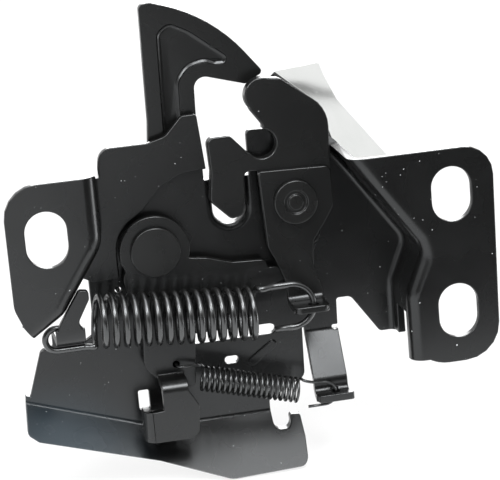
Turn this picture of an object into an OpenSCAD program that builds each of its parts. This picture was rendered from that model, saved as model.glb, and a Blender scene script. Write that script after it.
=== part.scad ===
// Bonnet latch with a safety catch, for the front edge of a car's bonnet.
// X runs to the viewer's right, Y runs away from the viewer and Z runs up, in millimetres.
// The origin is the middle of the striker when the latch is shut, at the front of the pan's floor.

/* [Sheet metal] */
// Thickness of the base plate's sheet
sheet_t = 2.3; // [1.8:0.1:2.6]
// Inside radius of the base plate's bends
bend_r = 2; // [1.2:0.2:2.4]
// Depth of the pan, from the front of the wings to the front of the floor
pan_depth = 20; // [19.5:0.5:24]
// Height of the pressed step between the upper lobe and the floor
step_h = 1.6; // [1:0.1:1.8]

/* [Left wing] */
// Outer edge of the left wing
left_edge = -68.5; // [-76:0.5:-66]
// Top edge of the left wing
left_top = 10; // [8:0.5:12]
// Middle of the left wall of the pan
left_wall = -42; // [-43:0.25:-41]
// Middle of the slot in the left wing, across
left_slot_x = -57; // [-58.5:0.25:-56.5]
// Middle of the slot in the left wing, in height
left_slot_z = -6.5; // [-9:0.5:-5]

/* [Right wing] */
// Outer edge of the right wing
right_edge = 77; // [74:0.5:84]
// Top edge of the right wing
right_top = 5.6; // [4:0.2:7]
// Bottom edge of the right wing
right_bottom = -60.2; // [-62:0.2:-58]
// Middle of the slots in the right wing, across
right_slot_x = 63.7; // [62.5:0.1:66]
// Middle of the upper slot in the right wing, in height
right_slot_z = -8.2; // [-9:0.1:-7]
// Distance between the two slots in the right wing
slot_pitch = 36; // [33:0.5:38]
// How far the wings' free edges are turned back
lip_depth = 4.6; // [4.6:0.1:6]

/* [Bolt slots] */
// Width of the bolt slots
slot_w = 12.3; // [8:0.1:13]
// Length of the bolt slots, end to end
slot_l = 16.7; // [14:0.1:18]

/* [Striker slot] */
// Width of the striker's slot in the floor
entry_w = 14; // [12.5:0.25:15]
// Width left inside the rolled lip
throat_w = 9.8; // [9:0.1:10.5]
// Height of the slot's round end, at its middle
throat_z = -8.8; // [-10:0.2:-8]
// How far the rolled lip stands behind the floor's front
lip_back = 4.8; // [4:0.1:5]
// Diameter of the striker that the fork takes
striker_d = 8; // [7:0.1:8.2]
// Room for the striker in the fork's mouth, on each side
striker_fit = 0.4; // [0.2:0.05:0.6]

/* [Pivots] */
// Fork pivot, across
fork_x = 18.5; // [18:0.1:19]
// Fork pivot, in height
fork_z = -7; // [-7.4:0.1:-6.6]
// Pawl pivot, across
pawl_x = -24.5; // [-25:0.1:-24]
// Pawl pivot, in height
pawl_z = -17.5; // [-18:0.1:-17]
// Diameter of the pivots' shanks
pin_d = 8; // [6:0.1:9]
// Running clearance on each shank, on the radius
run_fit = 0.06; // [0.03:0.01:0.09]
// Clearance along each shank, on each face of a moving plate
end_fit = 0.1; // [0.05:0.05:0.15]
// Diameter of the fork rivet's head
fork_head_d = 13.2; // [11.5:0.1:15]
// Diameter of the pawl rivet's head
pawl_head_d = 15; // [12:0.1:17]
// Thickness of the rivets' heads
head_t = 2.1; // [1.5:0.1:2.4]
// Outer diameter of the spacer washers
washer_d = 16; // [13:0.5:17]

/* [Fork] */
// Thickness of the fork
fork_t = 4; // [3:0.1:4.2]
// Distance from the floor to the fork
fork_lift = 2.2; // [2.1:0.1:2.6]
// Swing of the fork from open to shut, in degrees
fork_swing = 45; // [44:0.5:46]
// Radius of the finger's tip
finger_r = 5.4; // [4.5:0.1:6]
// Thickness of the arm plate on the fork's front
arm_t = 2; // [1.5:0.1:2.2]
// Width of the arm's spring tab
tab_w = 10.8; // [9.5:0.1:12]
// Diameter of the stud that keys the arm to the fork
stud_d = 5; // [3:0.1:6]

/* [Pawl] */
// Thickness of the pawl
pawl_t = 2.6; // [2:0.1:2.8]
// Distance from the floor to the pawl
pawl_lift = 3; // [2.8:0.1:3.2]
// Radius of the pawl's hub
pawl_hub_r = 10.6; // [9.8:0.1:11]
// Height of the pawl's nose under the fork
nose_z = -26.9; // [-28:0.1:-26.9]
// How far the cup's front stands before the floor
cup_out = 14; // [12:0.25:15]
// Width of the cup's front face
cup_w = 11; // [9:0.25:12]
// Foot of the cup
cup_low = -74.5; // [-76:0.25:-73]

/* [Main spring] */
// Outer diameter of the main spring
main_od = 16.5; // [15:0.1:16.8]
// Wire of the main spring
main_wire = 1.9; // [1.8:0.1:2.4]
// Distance from the floor to the main spring's axis
main_lift = 15; // [14.8:0.1:15.2]
// Turns of the main spring
main_turns = 16; // [10:1:18]
// Left end of the main spring's coil
main_left = -45.4; // [-45.6:0.1:-42]
// Right end of the main spring's coil
main_right = 3.4; // [0:0.2:4]

/* [Pawl spring] */
// Outer diameter of the pawl's spring
small_od = 8; // [6:0.1:8.2]
// Wire of the pawl's spring
small_wire = 0.9; // [0.7:0.1:1.2]
// Distance from the floor to the pawl spring's axis
small_lift = 9.2; // [9.1:0.1:10]
// Turns of the pawl's spring
small_turns = 19; // [12:1:22]

/* [Safety catch] */
// Thickness of the hook
hook_t = 2.8; // [2:0.1:3]
// Clearance behind the base plate to the hook
hook_gap = 0.35; // [0.3:0.05:0.5]
// Left edge of the hook
hook_left = -21.3; // [-22:0.1:-20.5]
// Top of the hook
hook_top = 55; // [52:0.5:60]
// Depth of the panel pressed into the hook
panel_h = 0.9; // [0.4:0.1:1.2]
// Thickness of the lever
lever_t = 2.3; // [1.6:0.1:2.6]
// How far the lever's finger plate reaches behind the hook
finger_reach = 17; // [10:0.5:22]
// Wire of the catch's torsion spring
catch_wire = 1.4; // [1:0.1:1.6]

/* [Apron] */
// Height of the fold between the apron and the lower flange
fold_z = -73; // [-75:0.25:-72]
// Drop of the lower flange below the fold
flange_drop = 15.6; // [12:0.2:17]
// Slope of the lower flange from upright, in degrees
flange_tilt = 45; // [40:1:50]
// How far the leg's foot stands before the floor
foot_out = 8; // [7:0.1:8]
// Clearance between the anchor and the spring's hook
hook_fit = 0.2; // [0.1:0.05:0.4]

/* [Hidden] */
$fn = 48;
black = "#2b2c2e";
bright = "#c9cdc9";
half_t = sheet_t/2;
mid_r = bend_r + half_t;
lap = 1.2;
seam = half_t + bend_r + lap/2;
wing_y = -pan_depth;
pin_r = pin_d/2;
bore_r = pin_r + run_fit;
floor_back = sheet_t;
fork_back = -fork_lift;
fork_front = fork_back - fork_t;
arm_front = fork_front - arm_t;
pawl_back = -pawl_lift;
pawl_front = pawl_back - pawl_t;
hook_front = floor_back + hook_gap;
hook_back = hook_front + hook_t;
lever_back = hook_back + lever_t;
main_y = -main_lift;
small_y = -small_lift;
main_r = (main_od - main_wire)/2;
small_r = (small_od - small_wire)/2;
fork_at = [fork_x, fork_z];
pawl_at = [pawl_x, pawl_z];

// Small vector tools
function unit(v) = v/norm(v);
function flat(p) = [p[0], p[1]];
function turned(v, a) = [v[0]*cos(a) - v[1]*sin(a), v[0]*sin(a) + v[1]*cos(a)];
function wrap(a) = a > 180 ? a - 360 : a < -180 ? a + 360 : a;
function back_to_front(l) = [for (i = [len(l) - 1:-1:0]) l[i]];
function arc(c, r, a0, a1, n = 6) =
    [for (i = [0:n]) let (w = a0 + (a1 - a0)*i/n) c + r*[cos(w), sin(w)]];

// Corner b of an outline a, b, c, rounded to radius r
function corner(a, b, c, r, n) =
    let (u = unit(a - b), v = unit(c - b), half = acos(u*v)/2)
    let (m = b + unit(u + v)*r/sin(half), s = b + u*r/tan(half) - m, e = b + v*r/tan(half) - m)
    let (a0 = atan2(s[1], s[0]), sweep = wrap(atan2(e[1], e[0]) - a0))
    arc(m, r, a0, a0 + sweep, n);

// Closed outline from corners given as [x, z, radius]
function rounded(p, n = 5) = [for (i = [0:len(p) - 1])
    let (a = p[(i + len(p) - 1) % len(p)], b = p[i], c = p[(i + 1) % len(p)])
    each (b[2] > 0 ? corner(flat(a), flat(b), flat(c), b[2], n) : [flat(b)])];

// Open path of corners [x, z, radius]: its directions, its right-hand side, its bends and a line beside it
function dirs(p) = [for (i = [0:len(p) - 2]) unit(flat(p[i + 1]) - flat(p[i]))];
function side(d) = [d[1], -d[0]];
function cut_back(p, i) = let (d = dirs(p)) p[i][2]*tan(acos(min(1, d[i - 1]*d[i]))/2);
function bend_at(p, i) =
    let (d = dirs(p), s = d[i]*side(d[i - 1]) > 0 ? 1 : -1)
    [flat(p[i]) - d[i - 1]*cut_back(p, i) + s*p[i][2]*side(d[i - 1]), s, -s*side(d[i - 1]), -s*side(d[i])];
function beside(p, u, n = 5) = concat(
    [flat(p[0]) + u*side(dirs(p)[0])],
    [for (i = [1:1:len(p) - 2])
        let (k = bend_at(p, i), a0 = atan2(k[2][1], k[2][0]), sweep = wrap(atan2(k[3][1], k[3][0]) - a0))
        each arc(k[0], p[i][2] - k[1]*u, a0, a0 + sweep, n)],
    [flat(p[len(p) - 1]) + u*side(dirs(p)[len(p) - 2])]);
function at_height(p, d, z) = p + d*(z - p[1])/d[1];
function bent_strip(p, t) = concat(beside(p, t/2), back_to_front(beside(p, -t/2)));
function plain(l) = [for (q = l) [q[0], q[1], 0]];

// Plate with a front-view outline, from y0 back to y0 + t
module plate(pts, y0, t) {
    translate([0, y0 + t, 0]) rotate([90, 0, 0]) linear_extrude(t) polygon(pts);
}

// Round bar along Y at a front-view place
module bar(at, r, y0, y1) {
    translate([at[0], y1, at[1]]) rotate([90, 0, 0]) cylinder(r = r, h = y1 - y0);
}

// Upright round-ended cut for a bolt slot
module bolt_slot(x, z) {
    run = (slot_l - slot_w)/2;
    for (s = [-1, 1]) bar([x, z + s*run], slot_w/2, wing_y - 2, wing_y + 8);
    translate([x - slot_w/2, wing_y - 2, z - run]) cube([slot_w, 10, 2*run]);
}

// A side-view outline drawn as [y, z], run along X
module along_x(x0, x1, pts) {
    translate([x0, 0, 0]) rotate([90, 0, 90]) linear_extrude(x1 - x0) polygon(pts);
}

// A strip's section drawn as [sideways, depth], out along one face and back along the other,
// swept along a path in the front view
module run_along(p, section) {
    lines = [for (q = section) [for (s = beside(p, q[0])) [s[0], q[1], s[1]]]];
    n = len(section);
    m = len(lines[0]);
    ends = [for (i = [0:n/2 - 2]) m*[i, i + 1, n - 2 - i, n - 1 - i]];
    polyhedron([for (l = lines) each l], concat(
        ends,
        [for (f = ends) [for (i = [3:-1:0]) f[i] + m - 1]],
        [for (i = [0:n - 1], j = [0:m - 2]) let (k = (i + 1) % n)
            [i*m + j, i*m + j + 1, k*m + j + 1, k*m + j]]));
}

// Section of a pan wall: wing, bend, wall, bend and floor. Its wing lies on the side where m*u is below 0.
function wall_section(m, floor_y) =
    let (wb = wing_y + sheet_t, c = [-half_t - bend_r, wb + bend_r])
    let (f = [half_t + bend_r, floor_y - bend_r])
    let (pts = concat([[c[0] - lap, wing_y]], arc(c, bend_r + sheet_t, -90, 0), arc(f, bend_r, 180, 90),
        [[f[0] + lap, floor_y], [f[0] + lap, floor_y + sheet_t]],
        arc(f, bend_r + sheet_t, 90, 180), arc(c, bend_r, 0, -90), [[c[0] - lap, wb]]))
    [for (q = m > 0 ? pts : back_to_front(pts)) [m*q[0], q[1]]];

// Section of a wing's free edge, turned back by the lip's depth
function lip_section(m) =
    let (wb = wing_y + sheet_t, c = [-half_t - bend_r, wb + bend_r])
    let (pts = concat([[c[0] - lap, wing_y]], arc(c, bend_r + sheet_t, -90, 0),
        [[half_t, wing_y + lip_depth], [-half_t, wing_y + lip_depth]],
        arc(c, bend_r, 0, -90), [[c[0] - lap, wb]]))
    [for (q = m > 0 ? pts : back_to_front(pts)) [m*q[0], q[1]]];

// Round wire along a list of points
function tangents(p) = [for (i = [0:len(p) - 1]) unit(p[min(i + 1, len(p) - 1)] - p[max(i - 1, 0)])];
function carried(n, t) = unit(n - (n*t)*t);
function normals(t, n0) = [for (i = 0, n = carried(n0, t[0]); i < len(t);
    i = i + 1, n = carried(n, t[min(i, len(t) - 1)])) n];
module wire(p, r, n0, sides = 8) {
    t = tangents(p);
    n = normals(t, n0);
    ring = [for (i = [0:len(p) - 1]) for (k = [0:sides - 1])
        p[i] + r*(cos(360*k/sides)*n[i] + sin(360*k/sides)*cross(t[i], n[i]))];
    last = (len(p) - 1)*sides;
    polyhedron(ring, concat(
        [[for (k = [0:sides - 1]) k]],
        [[for (k = [sides - 1:-1:0]) last + k]],
        [for (i = [0:len(p) - 2]) for (k = [0:sides - 1])
            [i*sides + k, (i + 1)*sides + k, (i + 1)*sides + (k + 1) % sides, i*sides + (k + 1) % sides]]));
}

// Coil from a to b that starts and ends at the given angles, where 0 is the top and 90 is the front
function coil(a, b, r, a0, a1, per_turn) =
    let (axis = unit(b - a), up = unit(cross([0, 1, 0], axis)*-1), n = ceil((a1 - a0)/360*per_turn))
    [for (i = [0:n]) let (s = i/n, w = a0 + (a1 - a0)*s)
        a + (b - a)*s + r*(cos(w)*up + sin(w)*[0, -1, 0])];

// Smooth joint between two wire ends, from p along u to q along v
function eased(p, u, q, v, n) = [for (i = [1:n - 1]) let (s = i/n)
    p*(2*s*s*s - 3*s*s + 1) + u*(s*s*s - 2*s*s + s) + q*(3*s*s - 2*s*s*s) + v*(s*s*s - s*s)];

// Paths of the pan's walls and of the wings' free edges
tongue_z = -53.4;
wall_top = 7.9;
floor_top = 9.9;
wall_stop = -44;
right_path = [[27.3, 15.8, 0], [55.4, -24.3, 7], [49.6, -38, 10], [49.6, tongue_z, 0]];
right_free = [[49.6, tongue_z + lap, 0], [49.6, right_bottom + 1.6, 0]];
left_path = [[left_wall, 16, 0], [left_wall, -10, 10], [left_wall - 7.85, -21.63, 0]];
left_end = flat(left_path[2]);
left_run = dirs(left_path)[1];
left_turn = left_end + 8.9*left_run;
left_stop = left_turn + [1, 0.645]*(left_edge + 4.3 - left_turn[0]);
left_free = [concat(left_end - lap*left_run, 0), concat(left_turn, 7), concat(left_stop, 0)];

// Striker's seat in the open fork, turned back from its place in the shut latch
mouth = fork_at + turned(-fork_at, -fork_swing);
mouth_r = striker_d/2 + striker_fit;

// Spring anchor: a shelf through the main spring's left hook, with its end turned up
main_axis_z = -33.8;
main_slope = -4.1/49.4;
hook_low = main_axis_z - main_r;
shelf_low = hook_low + main_wire/2 + hook_fit;
shelf_z = shelf_low + half_t;
shelf_y = main_y - main_wire/2 - hook_fit - half_t;

// Flange, fold and apron
fold_corner = [-28, fold_z];
fold_end = [-66, fold_z + 13];
fold_fall = atan2(fold_corner[1] - fold_end[1], fold_corner[0] - fold_end[0]);
hatch_z = fold_z + 8.1;
notch_l = 7.2;
notch_r = 12.6;
leg_l = 20;
leg_r = 30.5;
leg_fold = -49.3;
foot_y = -foot_out + half_t;
foot_z = -68.8;
foot_eye = 26.3;
pawl_hole = [-21.4, -53.2];
small_a = [-14.8, small_y, -57.4];
small_b = [15.1, small_y, -65.8];

// Safety catch: pins that join the lever to the hook, and the torsion spring's two ends
catch_pins = [[-14, -7.5], [-14.4, -16.4]];
catch_rest = [0, -21.6];
catch_fix = [-36, -29.4];

module floor_sheet() {
    wall = beside(right_path, seam);
    pts = concat(
        [[entry_w/2, 14.6, 1.5], [15, 14.2, 2]],
        [concat(at_height(wall[0], dirs(right_path)[0], floor_top), 0)],
        plain([for (i = [1:len(wall) - 1]) wall[i]]),
        [[43.7, tongue_z, 1.5], [35.2, -41, 2.5], [leg_r + 0.2, -41, 0.8], [leg_r, leg_fold, 0],
         [leg_l, leg_fold, 0], [leg_l - 0.1, -47.4, 0.2], [leg_l - 0.7, -47.4, 0.2],
         [leg_l - 1.1, fold_z + 8.5, 3], [11.4, fold_z + 4.6, 2],
         [notch_l, fold_z + 2.5, 1], [notch_l, fold_z, 0], [fold_corner[0], fold_corner[1], 0],
         [fold_end[0], fold_end[1], 0], [-61, -44.6, 2], [-57.3, -44.6, 1], [-57.3, shelf_z - mid_r, 0],
         [-48.7, shelf_z - mid_r, 0], [-48.7, -44.6, 1], [-44.5, -42, 2], [-44.5, -20, 1], [-38, -20, 0],
         [-38, -14, 0], [-33, -6.4, 0], [-27.4, -2.2, 0], [-21.6, 3.6, 0], [-15, 6.4, 0],
         [-entry_w/2, 7, 0], [-entry_w/2, -4, 0], [entry_w/2, -4, 0]]);
    plate(rounded(pts), 0, sheet_t);
}

module lobe_sheet() {
    wall = beside(left_path, -seam);
    // The slot's left side leans out towards its mouth
    flare = 0.7;
    pts = concat(
        [[-entry_w/2 - flare, 21.4, 1], [-12.3, 21.4, 2.5], [-17.6, 15.8, 4], [-23, 14.4, 5],
         [left_wall + 3.8, 14.4, 4], [left_wall + 3.8, 10.6, 0]],
        [concat(at_height(wall[0], dirs(left_path)[0], left_top), 0)],
        plain([for (i = [1:len(wall) - 1]) wall[i]]),
        [[-43.6, -25.4, 0], [pawl_x - pawl_hub_r - 0.4, -25.4, 0]],
        plain(arc(pawl_at, pawl_hub_r + 0.4, 180, 118, 8)),
        [[-26.2, -5.4, 3], [-20.6, 1, 12], [-14.4, 4, 10], [-9.4, 4.5, 3], [-entry_w/2 + flare, 4.6, 0]]);
    plate(rounded(pts), -step_h, sheet_t);
}

// Rolled lip round the lower end of the striker's slot
module throat_lip() {
    outer = entry_w/2;
    inner = throat_w/2;
    roll = outer - inner;
    section = concat([[outer + 0.6, 0]], arc([outer, roll], roll, -90, -180), [[inner, lip_back],
        [inner + sheet_t, lip_back], [inner + sheet_t, sheet_t], [outer + 0.6, sheet_t]]);
    translate([0, 0, throat_z]) rotate([-90, 0, 0]) rotate_extrude(angle = 180) polygon(section);
    for (s = [-1, 1]) translate([0, 0, throat_z]) linear_extrude(0.8 - throat_z)
        polygon([for (q = section) [s*q[0], q[1]]]);
}

module lower_flange() {
    drop = 26;
    down = bent_strip([[half_t, fold_z + lap, 0], [half_t, fold_z - mid_r*tan(flange_tilt/2), mid_r],
        [half_t - drop*sin(flange_tilt), fold_z - drop*cos(flange_tilt), 0]], sheet_t);
    low = [for (q = down) q - [0, fold_z]];
    intersection() {
        union() {
            along_x(fold_corner[0] - 4, 16, down);
            translate([fold_corner[0], 0, fold_corner[1]]) rotate([0, -fold_fall, 0]) along_x(-44, 4, low);
        }
        plate(rounded([[-67, fold_end[1] + 3, 0], [-68.2, fold_z + 4.8, 1.5], [-65.2, fold_z + 2.6, 2],
            [-9, fold_z - flange_drop, 8], [15, fold_z - flange_drop + 0.6, 3], [16.8, fold_z - 2.8, 1.4],
            [notch_r, fold_z - 2.5, 1], [notch_r, fold_z - 5.8, 2], [notch_l, fold_z - 5.8, 2],
            [notch_l, fold_z + lap, 0], [fold_corner[0], fold_z + lap, 0]]), -30, 40);
    }
}

// Leg that slopes forward to a foot, which is bent level and has an eye for the small spring
module leg() {
    toe_y = small_y - 3.2;
    heel_y = foot_y - mid_r;
    difference() {
        union() {
            along_x(leg_l, leg_r, bent_strip([[half_t, leg_fold + lap, 0], [half_t, leg_fold - 1.2, mid_r],
                [foot_y, -64.4, mid_r], [foot_y, foot_z, mid_r], [heel_y - 0.4, foot_z, 0]], sheet_t));
            translate([0, 0, foot_z - half_t]) linear_extrude(sheet_t) polygon(rounded([[leg_l, heel_y, 0],
                [leg_l + 0.7, toe_y, 0.8], [leg_r + 0.9, toe_y, 0.8], [leg_r + 0.9, heel_y - 0.5, 0.6],
                [leg_r, heel_y, 0]]));
        }
        translate([foot_eye, small_y, foot_z - 3]) cylinder(r = small_wire/2 + 0.7, h = 8);
        bar([29.6, leg_fold - 0.6], 1, -6, 4);
    }
}

module anchor() {
    along_x(-57.3, -48.7, bent_strip([[half_t, shelf_z - mid_r - lap, 0], [half_t, shelf_z, mid_r],
        [shelf_y, shelf_z, mid_r], [shelf_y, shelf_z + mid_r + lap, 0]], sheet_t));
    plate(rounded([[-57.3, shelf_z + mid_r, 0], [-55.6, -32.2, 2], [-49.4, -23, 1], [-46.6, -23.4, 1],
        [-46.6, -26, 2], [-50.4, -32.6, 2], [-48.7, shelf_z + mid_r, 0]]), shelf_y - half_t, sheet_t);
}

// Pressed rib between the window and the fold
module rib() {
    a = [3, -57.2];
    b = [9.4, -52.8];
    d = unit(b - a)*1.3;
    s = side(unit(b - a))*1.3;
    plate(rounded([for (q = [a - d - s, b + d - s, b + d + s, a - d + s]) concat(q, 1.25)]), -0.7, 1.7);
}

module left_wing() {
    wall = beside(left_path, seam);
    free = beside(left_free, seam);
    pts = concat(
        [concat(at_height(wall[0], dirs(left_path)[0], left_top), 0)],
        plain([for (i = [1:len(wall) - 1]) wall[i]]),
        plain([for (i = [1:len(free) - 1]) free[i]]),
        [[left_edge, left_stop[1] + 9, 6], [left_edge, left_top, 10]]);
    plate(rounded(pts), wing_y, sheet_t);
}

module right_wing() {
    wall = beside(right_path, -seam);
    free = beside(right_free, -seam);
    pts = concat(
        [concat(at_height(wall[0], dirs(right_path)[0], right_top), 0)],
        plain([for (i = [1:len(wall) - 1]) wall[i]]),
        plain([free[1]]),
        [[55, right_bottom, 12], [right_edge - 1, right_bottom, 11], [right_edge, right_top, 9]]);
    plate(rounded(pts), wing_y, sheet_t);
}

module base_plate() {
    color(black) difference() {
        union() {
            floor_sheet();
            lobe_sheet();
            left_wing();
            right_wing();
            difference() {
                union() {
                    run_along(left_path, wall_section(-1, -step_h));
                    run_along(left_free, lip_section(-1));
                }
                // The top edge falls away behind the wing
                along_x(left_wall - 10, left_wall + 10, [
                    [wing_y - 1, left_top], [wing_y + sheet_t, left_top],
                    [4, left_top - 5.5], [4, 40], [wing_y - 1, 40]]);
            }
            difference() {
                union() {
                    run_along(right_path, wall_section(1, 0));
                    run_along(right_free, lip_section(1));
                }
                // The top edge climbs from the wing to the floor, clear of the fork
                along_x(15, 50, [[wing_y - 1, right_top], [wing_y + mid_r, right_top],
                    [fork_back + end_fit, wall_top], [0, floor_top], [8, floor_top],
                    [8, 40], [wing_y - 1, 40]]);
                // The wall stops here, and only its two bends run on
                translate([44, wing_y + lip_depth, tongue_z - 1])
                    cube([12, pan_depth - lip_depth - bend_r - sheet_t - 0.3, wall_stop - tongue_z + 1]);
            }
            lower_flange();
            leg();
            anchor();
            rib();
            difference() {
                throat_lip();
                bar([0, throat_z], throat_w/2 - 0.5, -1, 1);
            }
        }
        // Striker slot, down to the start of the rolled lip
        difference() {
            union() {
                translate([-entry_w/2, -10, throat_z]) cube([entry_w, 30, 2 - throat_z]);
                bar([0, throat_z], entry_w/2, -10, 20);
            }
            throat_lip();
        }
        bolt_slot(left_slot_x, left_slot_z);
        bolt_slot(right_slot_x, right_slot_z);
        bolt_slot(right_slot_x, right_slot_z - slot_pitch);
        bar(fork_at, pin_r, -3, 6);
        bar(pawl_at, pin_r, -3, 6);
        // Windows behind the springs and beside the cup
        plate(rounded([[-17, -46.2, 2], [10.8, -46.2, 2], [10.8, -50.9, 2], [-17, -50.9, 2]]), -3, 8);
        plate(rounded([[-33.2, hatch_z + 3.2, 0.6], [-29.9, hatch_z + 3.2, 0.6], [-29.9, hatch_z - 3, 0.6],
            [-33.2, hatch_z - 3, 0.6]]), -1, 6);
        plate(rounded([[-5.6, -54.8, 1], [-1.4, -54.8, 1], [-1.4, -57.2, 1], [-5.6, -57.2, 1]]), -1, 6);
        // Hole for the catch spring's fixed leg
        bar(catch_fix, catch_wire/2 + 0.3, -4, 6);
    }
}

module fork() {
    tip = [11.8, 25.4];
    color(black) difference() {
        union() {
            plate(rounded([[tip[0] - 0.4, tip[1] + finger_r, 3], [17.4, 30, 3], [31.2, 19.4, 10.5],
                [30.7, 0, 3], [30.4, -11, 5], [26.4, -16.5, 4], [23, -25.6, 1.5], [12, -24.6, 1.5],
                [9.9, -20.8, 2], [8.9, 3, 1], [4.4, 3.2, 1.5], [4.2, -5, 3], [3.2, -9.8, 2],
                [-0.6, -10.7, 2], [-6.6, -4.6, 2.4], [-5.6, 4.4, 8], [-6.1, 14.7, 2.4], [0.9, 14.7, 3],
                [6.4, 8.4, 1], [mouth[0] - 1, mouth[1], 0], [11.2, 16.4, 1.2],
                [tip[0] - finger_r + 0.6, tip[1] - 3, 3]]), fork_front, fork_t);
            bar(tip, finger_r, fork_front, fork_back);
        }
        bar(mouth, mouth_r, fork_front - 1, fork_back + 1);
        bar(fork_at, bore_r, fork_front - 1, fork_back + 1);
        bar(fork_at + [4.6, -11.4], stud_d/2, fork_front - 1, fork_back + 1);
    }
}

module fork_arm() {
    tab_l = 14;
    tab_z = -38.4;
    arm_mid = arm_front + arm_t/2;
    tab_front = main_y - 3.4;
    color(black) difference() {
        union() {
            plate(rounded([[8.2, 3.1, 1], [30.2, 2.4, 2], [30.2, -9.8, 3], [27.2, -14.6, 3], [23.2, -20, 3],
                [22.8, -27, 6], [tab_l + tab_w, -35.2, 2], [tab_l + tab_w, tab_z + arm_t, 0],
                [tab_l, tab_z + arm_t, 0], [tab_l, -32, 4], [11.4, -25, 3], [9.3, -20.4, 4]]),
                arm_front, arm_t);
            along_x(tab_l, tab_l + tab_w, bent_strip([[arm_mid, tab_z + 1.6*arm_t, 0],
                [arm_mid, tab_z, 1.4*arm_t], [tab_front, tab_z, 0]], arm_t));
            bar(fork_at + [4.6, -11.4], stud_d/2, arm_front + arm_t/2, fork_back - end_fit);
        }
        bar(fork_at, bore_r, arm_front - 1, fork_front + 1);
        // Hole that the spring's hook passes through
        translate([20.4, main_y, tab_z - 3]) cylinder(r = main_wire/2 + 0.7, h = 6);
        // Rounded front corners of the tab
        for (s = [0, 1]) translate([tab_l + s*tab_w, tab_front, tab_z - 3]) mirror([s, 0, 0]) difference() {
            translate([-1, -1, 0]) cube([3, 3, 6]);
            translate([2, 2, -1]) cylinder(r = 2, h = 8);
        }
    }
}

module fork_rivet() {
    head_back = arm_front - end_fit;
    color(black) difference() {
        union() {
            bar(fork_at, fork_head_d/2, head_back - head_t, head_back);
            bar(fork_at, pin_r, head_back - 0.5, floor_back + 0.5);
            bar(fork_at, fork_head_d/2 - 0.8, floor_back, floor_back + head_t);
        }
        // Ring-shaped recess in the head
        difference() {
            bar(fork_at, fork_head_d/4 + 0.2, head_back - head_t - 1, head_back - head_t + 0.6);
            bar(fork_at, fork_head_d/4 - 1, head_back - head_t - 2, head_back - head_t + 1);
        }
    }
}

module fork_washer() {
    color(black) difference() {
        bar(fork_at, washer_d/2, fork_back + end_fit, 0);
        bar(fork_at, bore_r, fork_back - 1, 1);
    }
}

module pawl() {
    pawl_mid = pawl_front + pawl_t/2;
    face_y = -cup_out + pawl_t/2;
    cup_r = -17;
    cup_l = cup_r - cup_w;
    shelf = -57.4;
    color(black) difference() {
        union() {
            bar(pawl_at, pawl_hub_r, pawl_front, pawl_back);
            // Arm under the fork, with the nose at its end
            plate(rounded([[-24, -9, 2], [-16, -20.6, 4], [-9, -21.6, 5], [-1.5, -23.9, 4],
                [8.4, -24.4, 1.5], [9.4, nose_z, 0.6], [14.6, nose_z - 0.1, 1.2],
                [14.8, nose_z - 4.2, 1.6], [4, -33.8, 6], [-9, -32.6, 8], [-14.6, -42, 8],
                [-16, -60.8, 1.6], [-19, -60.8, 1], [-19.4, shelf + 0.4, 0], [cup_l + 0.6, shelf + 0.4, 0],
                [-31.2, -53.4, 5], [-30.6, -44, 8], [-35, -24, 6]]), pawl_front, pawl_t);
            // Shelf and face of the cup for the cable's end
            along_x(cup_l + 0.6, -19.4, bent_strip([[pawl_mid, shelf + 3.4, 0], [pawl_mid, shelf, 2],
                [face_y, shelf, 2], [face_y, shelf - 6, 0]], pawl_t));
            plate(rounded([[cup_l + 0.6, shelf - 2, 0], [-19.4, shelf - 2, 0], [-16.6, -64.4, 3],
                [cup_r - 0.5, cup_low, 3.2], [-31, cup_low + 0.2, 0], [-31, -64.8, 0],
                [cup_l + 0.6, -64.6, 0]]), -cup_out, pawl_t);
            translate([0, 0, cup_low + 0.2]) linear_extrude(-65 - cup_low)
                polygon(bent_strip([[-29, face_y, 0], [-32.2, face_y, 2.2], [-32.2, face_y + 6, 0]],
                    pawl_t));
        }
        bar(pawl_at, bore_r, pawl_front - 1, pawl_back + 1);
        bar(pawl_hole, small_wire/2 + 0.5, pawl_front - 1, pawl_back + 1);
    }
}

module pawl_rivet() {
    head_back = pawl_front - end_fit;
    tail = lever_back + 3.4*catch_wire + 1.2;
    color(black) {
        bar(pawl_at, pawl_head_d/2, head_back - head_t, head_back);
        bar(pawl_at, pin_r, head_back - 0.5, tail + 0.5);
        bar(pawl_at, pawl_head_d/2, tail, tail + head_t);
    }
}

module pawl_washer() {
    color(black) difference() {
        bar(pawl_at, washer_d/2, pawl_back + end_fit, 0);
        bar(pawl_at, bore_r, pawl_back - 1, 1);
    }
}

module main_spring() {
    a = [main_left, main_y, main_axis_z];
    b = [main_right, main_y, main_axis_z + main_slope*(main_right - main_left)];
    turns = coil(a, b, main_r, 180, 360*main_turns, 14);
    last = turns[len(turns) - 1];
    // Left hook, from its free end under the anchor to the coil
    c = [-57, hook_low + 3.4];
    left = concat([[-51, main_y, c[1] + 3.4]],
        [for (q = arc(c, 3.4, 90, 270, 10)) [q[0], main_y, q[1]]],
        [[-52, main_y, hook_low], [main_left - 4, main_y, hook_low]]);
    join_l = eased([main_left - 4, main_y, hook_low], [6, 0, 0], turns[0], [0, 8, 0], 6);
    // Right hook, round through the arm's tab
    e = [13.8, last[2] - 6.6];
    right = concat([[9, main_y, last[2]]],
        [for (q = arc(e, 6.6, 90, -90, 14)) [q[0], main_y, q[1]]], [[8, main_y, e[1] - 6.6]]);
    join_r = eased(last, [0, -8, 0], right[0], [6, 0, 0], 6);
    color(black) wire(concat(left, join_l, turns, join_r, right), main_wire/2, [0, 1, 0]);
}

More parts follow.
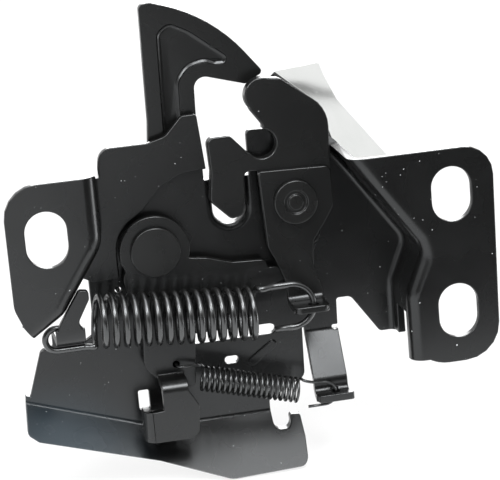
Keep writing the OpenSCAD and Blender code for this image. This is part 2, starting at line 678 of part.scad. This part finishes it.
module pawl_spring() {
    turns = coil(small_a, small_b, small_r, 360, 360*small_turns + 360, 12);
    first = turns[0];
    last = turns[len(turns) - 1];
    left = concat(
        [[pawl_hole[0], pawl_back + 1.2, pawl_hole[1]], [pawl_hole[0], small_y + 3, pawl_hole[1]]],
        [for (q = arc([pawl_hole[0] + 1.6, small_y + 1.6], 1.6, 180, 270, 5)) [q[0], q[1], pawl_hole[1]]]);
    start = left[len(left) - 1];
    join_l = eased(start, [6, 0, 0], first, [0, -8, 0], 7);
    // Right hook, over the foot, down through its eye and back under it
    e = [foot_eye - small_r, foot_z + 1];
    right = concat([for (q = arc(e, small_r, 90, -90, 12)) [q[0], small_y, q[1]]],
        [[17.4, small_y, e[1] - small_r]]);
    join_r = eased(last, [0, -8, 0], right[0], [7, 0, 0], 8);
    color(black) wire(concat(left, join_l, turns, join_r, right), small_wire/2, [0, 0, 1], 6);
}

module safety_hook() {
    panel = rounded([[-17.4, 12, 0], [-16.6, 46, 3.5], [-12.8, 48.6, 3], [-7, 45.6, 12], [3.9, 36.9, 1.5],
        [2.9, 34.9, 0.8], [-0.2, 34.9, 3], [-3.4, 36.1, 4], [-8.4, 35, 6], [-11.6, 31, 5], [-12.1, 12, 0]]);
    color(black) difference() {
        union() {
            plate(rounded([[hook_left, hook_top, 2], [hook_left + 3.4, hook_top + 0.2, 2],
                [0.1, hook_top - 5.6, 48], [14.4, 31, 1.2], [8.6, 28, 1.2], [-6.8, 32.6, 3.3], [-7.3, 14, 4],
                [-9.4, -3, 8], [-10, -14, 5], [-9.4, -24, 4], [-18, -26, 5], [-30, -27, 6], [-33.5, -14, 6],
                [-23, 6, 12], [hook_left - 0.5, 20, 8]], 8), hook_front, hook_t);
            // Back of the panel, which the pressing pushes out
            plate(panel, hook_back - 0.5, panel_h + 0.5);
        }
        plate(panel, hook_front - 1, panel_h + 1);
        bar(pawl_at, bore_r, hook_front - 1, hook_back + 1);
        for (q = catch_pins) bar(q, 2, hook_front - 1, hook_back + 1);
    }
}

module safety_lever() {
    // Front and rear ends of the finger plate's two folds, and of the long panel below them
    front = concat([[18.2, 30.3], [23.4, 25.7]], [for (s = [0:0.2:1]) [31 + 7.6*s, 19.3 - 25.9*s]]);
    rear = concat([[36.2, 28.3], [37.6, 24.1]], [for (s = [0:0.2:1]) [41.2 + 17.6*s, 16 - 23.2*s]]);
    under = [-1.5, -1.4];
    n = len(front);
    grid = [for (k = [0:3], i = [0:n - 1])
        let (back = k == 1 || k == 2, low = k > 1)
        let (q = (back ? rear[i] : front[i]) + (low ? under : [0, 0]))
        [q[0], back ? lever_back + finger_reach : lever_back - lever_t, q[1]]];
    color(bright) difference() {
        union() {
            plate(rounded([[-33, -12, 4], [-29, -28, 6], [-12, -31, 6], [8, -38, 10], [30, -28, 8],
                [37.4, -8.2, 3], [36.6, -4, 0], [30.1, 17.4, 2], [22.6, 24, 0], [17.4, 28.4, 1],
                [14.6, 25, 2], [24.4, 11, 4], [27.6, -3, 6], [22, -19, 8], [8, -26, 8], [-8, -20, 4],
                [-10, -6, 4], [-16, -2, 4]]), hook_back, lever_t);
            polyhedron(grid, concat(
                [for (k = [0:3], i = [0:n - 2]) let (m = (k + 1) % 4)
                    each [[k*n + i, m*n + i, m*n + i + 1], [k*n + i, m*n + i + 1, k*n + i + 1]]],
                [[3*n, 2*n, n], [3*n, n, 0], [n - 1, 2*n - 1, 3*n - 1], [n - 1, 3*n - 1, 4*n - 1]]));
        }
        bar(pawl_at, bore_r, hook_back - 1, lever_back + 1);
        for (q = catch_pins) bar(q, 2, hook_back - 1, lever_back + 1);
    }
}

module catch_rivets() {
    color(bright) for (q = catch_pins) {
        bar(q, 2, hook_front + 0.1, lever_back + 0.4);
        bar(q, 3.4, lever_back, lever_back + 1.3);
    }
}

module catch_spring() {
    r = pin_r + 0.5 + catch_wire/2;
    y0 = lever_back + 0.3 + catch_wire/2;
    c = pawl_at;
    d0 = catch_rest - c;
    d1 = catch_fix - c;
    // The legs leave the coil along its tangents
    w0 = atan2(d0[1], d0[0]) - acos(r/norm(d0));
    w1 = atan2(d1[1], d1[0]) + acos(r/norm(d1)) - 720;
    turns = [for (i = [0:40]) let (w = w0 + (w1 - w0)*i/40)
        [c[0] + r*cos(w), y0 + 1.05*catch_wire*(w0 - w)/360, c[1] + r*sin(w)]];
    y1 = turns[40][1];
    color(black) wire(concat(
        [[catch_rest[0], hook_back + 0.2, catch_rest[1]], [catch_rest[0], y0 - 0.6, catch_rest[1]]],
        [let (u = unit(c - catch_rest)) [catch_rest[0] + u[0]*0.8, y0, catch_rest[1] + u[1]*0.8]],
        turns,
        [let (u = unit(c - catch_fix)) [catch_fix[0] + u[0]*0.8, y1, catch_fix[1] + u[1]*0.8]],
        [[catch_fix[0], y1 - 0.6, catch_fix[1]], [catch_fix[0], floor_back - 1.6, catch_fix[1]]]),
        catch_wire/2, [0, 0, 1]);
}

base_plate();
fork();
fork_arm();
fork_rivet();
fork_washer();
pawl();
pawl_rivet();
pawl_washer();
main_spring();
pawl_spring();
safety_hook();
safety_lever();
catch_rivets();
catch_spring();
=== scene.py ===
# Bonnet latch with a safety catch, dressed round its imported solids.
# Lengths are in metres, with X to the viewer's right, Y away from the viewer and Z up.
import math

import bmesh
import bpy
from mathutils import Matrix, Vector
from mathutils.bvhtree import BVHTree


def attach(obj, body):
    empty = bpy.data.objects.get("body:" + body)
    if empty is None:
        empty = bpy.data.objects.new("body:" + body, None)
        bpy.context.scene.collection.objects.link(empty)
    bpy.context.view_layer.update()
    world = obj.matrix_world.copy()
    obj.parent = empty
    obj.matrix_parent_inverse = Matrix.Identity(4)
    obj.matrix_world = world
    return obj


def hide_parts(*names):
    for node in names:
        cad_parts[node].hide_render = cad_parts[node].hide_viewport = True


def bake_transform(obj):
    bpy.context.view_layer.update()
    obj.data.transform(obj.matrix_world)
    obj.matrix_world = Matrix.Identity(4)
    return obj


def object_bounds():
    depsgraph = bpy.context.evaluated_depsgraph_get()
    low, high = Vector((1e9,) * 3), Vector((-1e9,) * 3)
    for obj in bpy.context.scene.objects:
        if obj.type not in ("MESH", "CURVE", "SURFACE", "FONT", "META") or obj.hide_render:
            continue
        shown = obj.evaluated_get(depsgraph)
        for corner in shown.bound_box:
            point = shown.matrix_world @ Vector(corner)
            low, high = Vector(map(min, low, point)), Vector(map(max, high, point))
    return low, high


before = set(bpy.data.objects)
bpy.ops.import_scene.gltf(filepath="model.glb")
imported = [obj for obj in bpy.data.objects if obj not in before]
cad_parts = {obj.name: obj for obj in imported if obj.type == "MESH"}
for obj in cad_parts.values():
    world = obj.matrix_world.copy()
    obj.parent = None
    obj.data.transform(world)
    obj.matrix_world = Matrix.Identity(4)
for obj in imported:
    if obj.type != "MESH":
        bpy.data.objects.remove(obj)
cad_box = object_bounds()
MM = 0.001

# Base plate: one pressing of 2.3 mm steel, with a deep pan between two bolt-on wings.
# It is dipped in black paint after pressing, so the sheared edges are rounded and every bend shines.
# Its rivets, springs and levers are fixed to it later.


class Signal:
    """One output of a material's nodes: operators add Math nodes, and node() adds any other kind."""

    def __init__(self, tree, socket=None):
        self.tree = tree
        self.socket = socket

    def node(self, kind, settings=None, inputs=None, out=0):
        made = self.tree.nodes.new("ShaderNode" + kind)
        for name, value in (settings or {}).items():
            setattr(made, name, value)
        for name, value in (inputs or {}).items():
            if isinstance(value, Signal):
                self.tree.links.new(value.socket, made.inputs[name])
            else:
                made.inputs[name].default_value = value
        return Signal(self.tree, made.outputs[out])

    def math(self, operation, first, second):
        return self.node("Math", {"operation": operation}, {0: first, 1: second})

    def mix(self, share, first, second):
        return self.node("Mix", {"data_type": "RGBA"}, {0: share, 6: first, 7: second}, 2)

    def __add__(self, other):
        return self.math("ADD", self, other)

    __radd__ = __add__

    def __sub__(self, other):
        return self.math("SUBTRACT", self, other)

    def __rsub__(self, other):
        return self.math("SUBTRACT", other, self)

    def __mul__(self, other):
        return self.math("MULTIPLY", self, other)

    __rmul__ = __mul__

    def __lt__(self, other):
        return self.math("LESS_THAN", self, other)

    def __pow__(self, other):
        return self.math("POWER", self, other)


def new_finish(name):
    """A new material, its shader and a signal that carries the place on the piece in millimetres."""
    material = bpy.data.materials.new(name)
    material.use_nodes = True
    tree = material.node_tree
    place = Signal(tree).node("TexCoord", out="Object")
    place = place.node("VectorMath", {"operation": "SCALE"}, {0: place, "Scale": 1 / MM})
    return material, tree.nodes["Principled BSDF"], place


def feed(shader, name, signal):
    signal.tree.links.new(signal.socket, shader.inputs[name])


def noise(place, size, detail=2.0):
    """Cloudy noise with lumps of about this size in millimetres, from 0 to 1."""
    lumps = {"Vector": place, "Scale": 1 / size, "Detail": detail}
    return place.node("TexNoise", None, lumps, "Fac")


def specks(place, cell, largest):
    """A mask of small round specks, at most one in each cell, with sizes in millimetres."""
    rarity = 5
    spots = {"Vector": place, "Scale": 1 / cell}
    distance = place.node("TexVoronoi", None, spots, "Distance")
    pick = place.node("TexVoronoi", None, spots, "Color")
    pick = place.node("SeparateColor", None, {0: pick}, "Red")
    return distance < pick**rarity * (largest / cell)


def dip_coat(name, tint, roughness, dust, shine=0.5, glare_at=None):
    """Black dip paint on steel, with a fine orange peel, cloudy gloss and pale dust in patches.

    The largest dust is given in millimetres. A painted glare may lie round one place, the last argument:
    the paint turns pale blue-grey towards it, standing in for light glancing off the surface.
    """
    cloud_size, peel_size, patch_size = 14, 0.9, 9
    bare_share = 0.52
    grit_cell, lint_cell, lint_share, dust_cover = 2.6, 1.1, 0.5, 0.8
    gloss_swing, grit_dulling = 0.14, 0.4
    peel_strength, peel_height = 0.12, 0.05 * MM
    pale = (0.5, 0.52, 0.53, 1)
    deep = tuple(c * 0.7 for c in tint) + (1,)
    worn = tuple(c * 1.35 for c in tint) + (1,)
    material, shader, place = new_finish(name)
    cloud = noise(place, cloud_size)
    peel = noise(place, peel_size, 3.0)
    patch = 1 - (noise(place, patch_size, 3.0) < bare_share)
    grit = specks(place, grit_cell, dust) * patch
    lint = specks(place, lint_cell, dust * lint_share) * patch
    paint = place.mix(cloud, deep, worn)
    # Painted glare: the paint fades to a pale blue-grey towards the given place, in place of light
    # glancing off it.
    if glare_at:
        glare_reach, glare_share = 37.0, 0.65
        glare_tint = (0.045, 0.07, 0.09, 1)
        away = place.node("VectorMath", {"operation": "DISTANCE"}, {0: place, 1: glare_at}, "Value")
        fading = {"Value": away, "From Min": glare_reach, "From Max": 0.0}
        glare = place.node("MapRange", {"interpolation_type": "SMOOTHSTEP"}, fading, "Result")
        paint = place.mix(glare * glare_share, paint, glare_tint)
    paint = place.mix((grit + lint) * dust_cover, paint, pale)
    feed(shader, "Base Color", paint)
    dulled = roughness - gloss_swing / 2 + gloss_swing * cloud + grit_dulling * grit
    feed(shader, "Roughness", dulled)
    relief = {"Height": peel + 2 * grit, "Strength": peel_strength, "Distance": peel_height}
    feed(shader, "Normal", place.node("Bump", None, relief, "Normal"))
    shader.inputs["Specular IOR Level"].default_value = shine
    shader.inputs["Specular Tint"].default_value = (0.95, 0.98, 1.0, 1)
    return material


def as_object(name, form, material):
    """Puts a bmesh into the scene as an object with one material."""
    mesh = bpy.data.meshes.new(name)
    form.to_mesh(mesh)
    form.free()
    mesh.materials.append(material)
    piece = bpy.data.objects.new(name, mesh)
    bpy.context.scene.collection.objects.link(piece)
    return piece


def finished(name, form, material, body, node):
    """Makes a shaped bmesh a piece of the object: smooth, painted, and in place of its CAD node."""
    crease = math.radians(44)
    for face in form.faces:
        face.smooth = True
    for edge in form.edges:
        edge.smooth = len(edge.link_faces) == 2 and edge.calc_face_angle() < crease
    piece = as_object(name, form, material)
    flat_faces = piece.modifiers.new("flat_faces", "WEIGHTED_NORMAL")
    flat_faces.keep_sharp = True
    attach(piece, body)
    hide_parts(node)


def round_edges(form, rounding, sharpest=math.radians(38)):
    """Rounds over the edges sharper than a bend's facets, and keeps tight corners on the sheet."""
    stray = 0.8 * rounding
    weld = 0.004 * MM
    skin = BVHTree.FromBMesh(form)
    hard = [e for e in form.edges if len(e.link_faces) == 2 and e.calc_face_angle() > sharpest]
    bmesh.ops.bevel(form, geom=hard, offset=rounding, offset_type="OFFSET", segments=3, profile=0.5,
                    affect="EDGES", material=-1, clamp_overlap=False)
    for vert in form.verts:
        nearest, _, _, gap = skin.find_nearest(vert.co)
        if gap > stray:
            vert.co = nearest
    bmesh.ops.remove_doubles(form, verts=form.verts, dist=weld)
    folded = [f for f in form.faces if any(e.is_boundary for e in f.edges)
              and any(len(e.link_faces) > 2 for e in f.edges)]
    bmesh.ops.delete(form, geom=folded, context="FACES")
    bmesh.ops.holes_fill(form, edges=[e for e in form.edges if e.is_boundary], sides=8)


def clean_copy(node):
    """A copy of a CAD node as one mesh, with whole faces in place of the triangles."""
    weld = 0.002 * MM
    flat = math.radians(0.6)
    form = bmesh.new()
    form.from_mesh(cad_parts[node].data)
    bmesh.ops.remove_doubles(form, verts=form.verts, dist=weld)
    bmesh.ops.dissolve_limit(form, angle_limit=flat, verts=form.verts, edges=form.edges)
    return form


def pressed(node, rounding):
    """A clean copy of a CAD node with its sheared edges rounded over."""
    form = clean_copy(node)
    round_edges(form, rounding)
    return form


# The base plate's paint carries a painted bluish glare round its lower left corner.
lower_left = (-62, 0, -86)
black_coat = dip_coat("black_coat", (0.0035, 0.0035, 0.0035), 0.27, 0.3, glare_at=lower_left)
form = clean_copy("base_plate")

# The relief at the leg's right side leaves thin lips on both faces, which are dressed square.
leg_right, relief_level, mid_sheet = 30.5 * MM, -50.1 * MM, 1.1 * MM
lip_width, lip_height = 0.2 * MM, 0.82 * MM
for side in (-1, 1):
    for face in (-1, 1):
        lip = [v for v in form.verts
               if abs(v.co.x - leg_right) < lip_width
               and 0 < side * (v.co.z - relief_level) < lip_height
               and face * (v.co.y - mid_sheet) > 0]
        corner = max(lip, key=lambda v: side * v.co.z).co.copy()
        bmesh.ops.pointmerge(form, verts=lip, merge_co=(leg_right, corner.y, corner.z))

# The window in the right wall is cut back a little from the bend beside it.
wall_window, window_edge, hair = -15.4 * MM, -14.9 * MM, 0.02 * MM
for vert in form.verts:
    if vert.co.x > 0 and abs(vert.co.y - wall_window) < hair:
        vert.co.y = window_edge

# The slot in the floor behind the main spring is drawn in to about two thirds of its height.
slot_left, slot_right, slot_front = -17.05 * MM, 10.85 * MM, -0.1 * MM
slot_top, slot_low, slot_share = -46.2 * MM, -50.95 * MM, 0.68
for vert in form.verts:
    across = slot_left < vert.co.x < slot_right and vert.co.y > slot_front
    if across and slot_low < vert.co.z < slot_top:
        vert.co.z = slot_top + slot_share * (vert.co.z - slot_top)
round_edges(form, 0.3 * MM)
finished("base_plate_pressing", form, black_coat, "base", "base_plate")

# Fork: a claw cut from 4 mm plate, whose mouth takes the striker and carries it down the slot.
# Its arm is a thinner plate, keyed to its front by a stud, with a tab bent forward for the main spring.
fork_coat = dip_coat("fork_coat", (0.0035, 0.0035, 0.0034), 0.27, 0.22)
finished("fork_claw", pressed("fork", 0.5 * MM), fork_coat, "fork", "fork")
finished("fork_arm_plate", pressed("fork_arm", 0.3 * MM), fork_coat, "fork", "fork_arm")

# Pawl: the release lever, cut from 2.6 mm sheet and bent twice to make a cup for the cable's end.
# Its nose lies under the fork's heel, and it turns on the left rivet.
finished("pawl_lever", pressed("pawl", 0.3 * MM), fork_coat, "pawl", "pawl")

# Rivets and spacers: turned from steel bar and blackened.
# The rivets' heads are pressed down over the levers, and the spacers hold the levers off the base plate.
rivet_coat = dip_coat("rivet_coat", (0.004, 0.004, 0.0038), 0.28, 0.2)
for node in ("fork_rivet", "pawl_rivet", "fork_washer", "pawl_washer"):
    finished(node + "_turned", pressed(node, 0.35 * MM), rivet_coat, "base", node)

# Safety hook: a tall hook of 2.8 mm sheet behind the base plate, stiffened by a pressed-in panel.
# It catches the bonnet if the fork lets go, and turns on the rear end of the pawl's rivet.
# The panel's border slopes from just under the front face down to the panel.
shallowest, deepest = 0.3 * MM, 2 * MM
border_width, border_depth = 1.2 * MM, 0.15 * MM
form = clean_copy("safety_hook")
hook_front = min(v.co.y for v in form.verts)
facing_front = [f for f in form.faces if f.normal.y < -0.9]
hollow = [f for f in facing_front
          if shallowest < f.calc_center_median().y - hook_front < deepest]
border = bmesh.ops.inset_region(form, faces=hollow, thickness=border_width, use_even_offset=True)
panel = {v for f in hollow for v in f.verts}
for vert in {v for f in border["faces"] for v in f.verts} - panel:
    vert.co.y = hook_front + border_depth
round_edges(form, 0.3 * MM, sharpest=math.radians(20))
finished("safety_hook_pressing", form, fork_coat, "catch", "safety_hook")


# Safety lever: a plated steel lever riveted to the hook's back, with a wide plate for a fingertip.
# The zinc is bright and left bare, with faint rolling marks and small dull patches.
def zinc_plate(name):
    cloud_size, grain_size = 9, 0.5
    dull, bright = (0.86, 0.88, 0.86, 1), (0.95, 0.96, 0.95, 1)
    material, shader, place = new_finish(name)
    cloud = noise(place, cloud_size, 3.0)
    grain = noise(place, grain_size)
    feed(shader, "Base Color", place.mix(cloud, dull, bright))
    feed(shader, "Roughness", 0.13 + 0.08 * cloud + 0.04 * grain)
    relief = {"Height": grain, "Strength": 0.08, "Distance": 0.03 * MM}
    feed(shader, "Normal", place.node("Bump", None, relief, "Normal"))
    shader.inputs["Metallic"].default_value = 1.0
    return material


zinc = zinc_plate("bright_zinc")
form = pressed("safety_lever", 0.12 * MM)
finished("safety_lever_plated", form, zinc, "catch", "safety_lever")
form = pressed("catch_rivets", 0.3 * MM)
finished("catch_rivets_plated", form, zinc, "catch", "catch_rivets")


# Springs: wound from round spring wire and blackened. The large one pulls the fork open, the small one
# pulls the pawl under the fork, and the torsion spring behind holds the safety hook over the slot.
# Their sizes and places are in millimetres.
def wound(name, path, wire, material, node):
    """A round wire along a path of points in millimetres, as a closed mesh."""
    weld = 0.01 * MM
    run = bpy.data.curves.new(name, "CURVE")
    run.dimensions = "3D"
    run.bevel_depth = wire / 2 * MM
    run.bevel_resolution = 4
    run.use_fill_caps = True
    line = run.splines.new("POLY")
    line.points.add(len(path) - 1)
    for point, place in zip(line.points, path):
        point.co = (*(Vector(place) * MM), 1)
    guide = bpy.data.objects.new(name + "_guide", run)
    form = bmesh.new()
    form.from_mesh(guide.to_mesh())
    guide.to_mesh_clear()
    bpy.data.objects.remove(guide)
    bmesh.ops.remove_doubles(form, verts=form.verts, dist=weld)
    bmesh.ops.recalc_face_normals(form, faces=form.faces)
    for face in form.faces:
        face.smooth = True
    piece = as_object(name, form, material)
    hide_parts(node)
    return piece


def coil(start, end, radius, first, last, steps=28):
    """Points of a coil from one angle to another, where 0 is the top and 90 the front."""
    front = Vector((0, -1, 0))
    top = front.cross((end - start).normalized())
    count = math.ceil((last - first) / 360 * steps)
    points = []
    for i in range(count + 1):
        angle = math.radians(first + (last - first) * i / count)
        outward = math.cos(angle) * top + math.sin(angle) * front
        points.append(start.lerp(end, i / count) + radius * outward)
    return points


def bow(centre, radius, first, last, depth, steps=16):
    """Points of a round bend in the front view, at one depth."""
    points = []
    for i in range(steps + 1):
        angle = math.radians(first + (last - first) * i / steps)
        across = centre[0] + radius * math.cos(angle)
        points.append(Vector((across, depth, centre[1] + radius * math.sin(angle))))
    return points


def ease(start, away, end, arrive, steps=12):
    """Points of a smooth joint between two ends of wire, leaving and arriving in given directions."""
    points = []
    for i in range(1, steps):
        s = i / steps
        a = 2 * s**3 - 3 * s**2 + 1
        points.append(a * start + (s**3 - 2 * s**2 + s) * Vector(away)
                      + (1 - a) * end + (s**3 - s**2) * Vector(arrive))
    return points


wire_coat = dip_coat("wire_coat", (0.005, 0.005, 0.0048), 0.27, 0.15, shine=1.0)

main_wire, main_radius, main_depth, main_turns = 1.9, 7.3, -15, 16
main_start = Vector((-45.4, main_depth, -33.8))
main_end = Vector((3.4, main_depth, -37.85))
anchor_x, anchor_bow, anchor_tip = -57, 3.4, -51
tab_x, tab_bow, tab_tip, tab_lead = 13.8, 6.6, 8, 9
turns = coil(main_start, main_end, main_radius, 180, main_turns * 360)
low = main_start.z - main_radius
left_bow = [Vector((anchor_tip, main_depth, low + 2 * anchor_bow))]
left_bow += bow((anchor_x, low + anchor_bow), anchor_bow, 90, 270, main_depth)
left_bow += [Vector((x, main_depth, low)) for x in (-52, main_start.x - 4)]
left_ease = ease(left_bow[-1], (6, 0, 0), turns[0], (0, 8, 0))
right_start = Vector((tab_lead, main_depth, turns[-1].z))
right_bow = [right_start]
right_bow += bow((tab_x, right_start.z - tab_bow), tab_bow, 90, -90, main_depth)
right_bow += [Vector((tab_tip, main_depth, right_start.z - 2 * tab_bow))]
right_ease = ease(turns[-1], (0, -8, 0), right_start, (6, 0, 0))
main_path = left_bow + left_ease + turns + right_ease + right_bow
main_spring = wound("main_spring_wound", main_path, main_wire, wire_coat, "main_spring")
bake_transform(main_spring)

small_wire, small_radius, small_depth, small_turns = 0.9, 3.55, -9.2, 20
small_start = Vector((-14.8, small_depth, -57.4))
small_end = Vector((15.1, small_depth, -65.8))
pawl_hole = Vector((-21.4, -1.8, -53.2))
foot_eye = Vector((26.3, small_depth, -67.8))
bend, bend_steps, foot_tip = 1.6, 8, 17.4
turns = coil(small_start, small_end, small_radius, 360, small_turns * 360)
centre = Vector((pawl_hole.x + bend, small_depth + bend, pawl_hole.z))
left_end = [pawl_hole, Vector((pawl_hole.x, centre.y, pawl_hole.z))]
for i in range(1, bend_steps + 1):
    angle = math.radians(90 * i / bend_steps)
    left_end.append(centre + bend * Vector((-math.cos(angle), -math.sin(angle), 0)))
left_ease = ease(left_end[-1], (6, 0, 0), turns[0], (0, -8, 0))
right_bow = bow((foot_eye.x - small_radius, foot_eye.z), small_radius, 90, -90, small_depth)
right_bow.append(Vector((foot_tip, small_depth, foot_eye.z - small_radius)))
right_ease = ease(turns[-1], (0, -8, 0), right_bow[0], (7, 0, 0))
small_path = left_end + left_ease + turns + right_ease + right_bow
pawl_spring = wound("pawl_spring_wound", small_path, small_wire, wire_coat, "pawl_spring")
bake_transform(pawl_spring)

catch_wire, catch_radius, catch_front = 1.4, 5.2, 8.75
catch_axis = Vector((-24.5, 0, -17.5))
catch_rest = Vector((0, 5.65, -21.6))
catch_fix = Vector((-36, 0.7, -29.4))
catch_pitch, catch_steps = 1.05 * catch_wire, 80


def tangent_angle(end, way):
    """The angle round the coil at which a straight leg to an end leaves it, in degrees."""
    reach = end - catch_axis
    reach.y = 0
    lean = math.acos(catch_radius / reach.length)
    return math.degrees(math.atan2(reach.z, reach.x) + way * lean)


first = tangent_angle(catch_rest, -1)
last = tangent_angle(catch_fix, 1) - 2 * 360
turns = []
for i in range(catch_steps + 1):
    angle = first + (last - first) * i / catch_steps
    depth = catch_front + catch_pitch * (first - angle) / 360
    turn = math.radians(angle)
    spoke = Vector((catch_radius * math.cos(turn), depth, catch_radius * math.sin(turn)))
    turns.append(catch_axis + spoke)


def leg(end, depth):
    """A straight leg of the torsion spring's wire, turned forward at its end."""
    corner_forward, corner_inward = 0.6, 0.8
    inward = catch_axis - end
    inward.y = 0
    corner = Vector((end.x, depth, end.z))
    before = corner - Vector((0, corner_forward, 0))
    return [Vector(end), before, corner + inward.normalized() * corner_inward]


catch_path = leg(catch_rest, catch_front) + turns + leg(catch_fix, turns[-1].y)[::-1]
catch_spring = wound("catch_spring_wound", catch_path, catch_wire, wire_coat, "catch_spring")
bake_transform(catch_spring)


# Studio: a white floor and a white room, with soft lamps in front, above and behind.
# Cards that only the gloss sees stand and lie round the part: dark ones before it, grey ones behind it,
# and a bright strip on the floor at its right.
def ray_signals(tree):
    """Signals for the rays that show a surface in the picture, in gloss and in glass."""
    start = Signal(tree)
    kinds = ("Is Camera Ray", "Is Glossy Ray", "Is Transmission Ray")
    camera_ray, glossy_ray, glass_ray = (start.node("LightPath", out=kind) for kind in kinds)
    seen = start.math("MINIMUM", camera_ray + glossy_ray + glass_ray, 1.0)
    return start, seen, glossy_ray


scene = bpy.context.scene
scene.view_settings.view_transform = "Standard"
floor_half, floor_drop, floor_glow = 6.0, 0.4 * MM, 0.8
white, gloss_white = (1, 1, 1, 1), (1.6, 1.6, 1.6, 1)
ground = bpy.data.materials.new("white_floor")
ground.use_nodes = True
tree = ground.node_tree
tree.nodes.clear()
start, seen, glossy_ray = ray_signals(tree)
matt = start.node("BsdfDiffuse", None, {"Color": (0.9, 0.9, 0.9, 1)})
bright = start.mix(glossy_ray, white, gloss_white)
glow = start.node("Emission", None, {"Color": bright, "Strength": 1.0})
lit = start.node("MixShader", None, {0: seen * floor_glow, 1: matt, 2: glow})
under = start.node("NewGeometry", out="Backfacing")
clear = start.node("BsdfTransparent")
whole = start.node("MixShader", None, {0: under, 1: lit, 2: clear})
end = tree.nodes.new("ShaderNodeOutputMaterial")
tree.links.new(whole.socket, end.inputs["Surface"])
form = bmesh.new()
bmesh.ops.create_grid(form, x_segments=1, y_segments=1, size=floor_half)
bmesh.ops.translate(form, verts=form.verts, vec=(0, 0, cad_box[0].z - floor_drop))
as_object("floor", form, ground)

card_low = cad_box[0].z + 1 * MM
for name, grey, shine, place, facing, half in (
        ("card_front", 0.02, 0, (0, -1.8, 0.35), (0, 1, 0), (2.2, 0.45)),
        ("card_lever", 0.1, 0, (0.9, 1.1, 0.47), (-0.9, -1.1, -0.47), (0.22, 0.22)),
        ("card_near", 0.02, 0, (1.085, -0.3, card_low), (0, 0, 1), (1.1, 0.17)),
        ("card_mid", 0.02, 0, (1.2, -1.14, card_low), (0, 0, 1), (1.1, 0.67)),
        ("card_behind", 0.25, 0, (0, 0.5, card_low), (0, 0, 1), (0.9, 0.4)),
        ("card_right", 0.8, 6, (0.42, -0.065, card_low), (0, 0, 1), (0.24, 0.06))):
    card_paint = bpy.data.materials.new(name)
    card_paint.use_nodes = True
    sockets = card_paint.node_tree.nodes["Principled BSDF"].inputs
    sockets["Base Color"].default_value = (grey, grey, grey, 1)
    sockets["Roughness"].default_value = 1.0
    sockets["Emission Color"].default_value = white
    sockets["Emission Strength"].default_value = shine
    form = bmesh.new()
    bmesh.ops.create_grid(form, x_segments=1, y_segments=1, size=1.0)
    turned = Vector(facing).to_track_quat("Z", "Y").to_matrix().to_4x4()
    card_place = Matrix.Translation(place) @ turned @ Matrix.Diagonal((*half, 1, 1))
    bmesh.ops.transform(form, matrix=card_place, verts=form.verts)
    card = as_object(name, form, card_paint)
    card.visible_camera = False
    card.visible_diffuse = False
    card.visible_shadow = False

room = bpy.data.worlds.new("white_room")
scene.world = room
room.use_nodes = True
start, seen, glossy_ray = ray_signals(room.node_tree)
back = room.node_tree.nodes["Background"]
back.inputs["Color"].default_value = white
feed(back, "Strength", 0.5 + 0.5 * seen - 0.1 * glossy_ray)

for name, place, size, power in (
        ("key", (0.12, -0.75, 0.9), 0.5, 12),
        ("left_key", (-0.75, -0.7, 0.75), 0.45, 10),
        ("overhead", (0, -0.2, 1.0), 0.9, 8),
        ("rear_top", (0.25, 1.2, 0.4), 0.6, 8)):
    lamp = bpy.data.lights.new(name, "AREA")
    lamp.size = size
    lamp.energy = power
    holder = bpy.data.objects.new(name, lamp)
    holder.location = place
    holder.rotation_mode = "QUATERNION"
    holder.rotation_quaternion = (-Vector(place)).to_track_quat("-Z", "Y")
    holder.visible_camera = False
    scene.collection.objects.link(holder)

# Camera: a long lens from the front, a little to the left and above, held 5 degrees off level.
# Its frame is shifted so that the middle of the striker's seat comes to origin_px.
azimuth, elevation, roll = (math.radians(a) for a in (-10, 14, 5))
distance = 0.6
focal_px = 2000
width_px, height_px = 500, 480
origin_px = (227, 180.4)
level = Vector((math.cos(azimuth), math.sin(azimuth), 0))
inward = Vector((-math.sin(azimuth), math.cos(azimuth), 0))
ahead = inward * math.cos(elevation) - Vector((0, 0, math.sin(elevation)))
upward = level.cross(ahead)
right = level * math.cos(roll) - upward * math.sin(roll)
top = level * math.sin(roll) + upward * math.cos(roll)
shift = ((origin_px[0] - width_px / 2) / focal_px, (height_px / 2 - origin_px[1]) / focal_px)
lens = bpy.data.cameras.new("camera")
lens.sensor_width = 36
lens.lens = lens.sensor_width * focal_px / width_px
camera = bpy.data.objects.new("camera", lens)
spot = -distance * (ahead + shift[0] * right + shift[1] * top)
camera.matrix_world = Matrix.Translation(spot) @ Matrix((right, top, -ahead)).transposed().to_4x4()
scene.collection.objects.link(camera)
scene.camera = camera

bpy.context.view_layer.update()
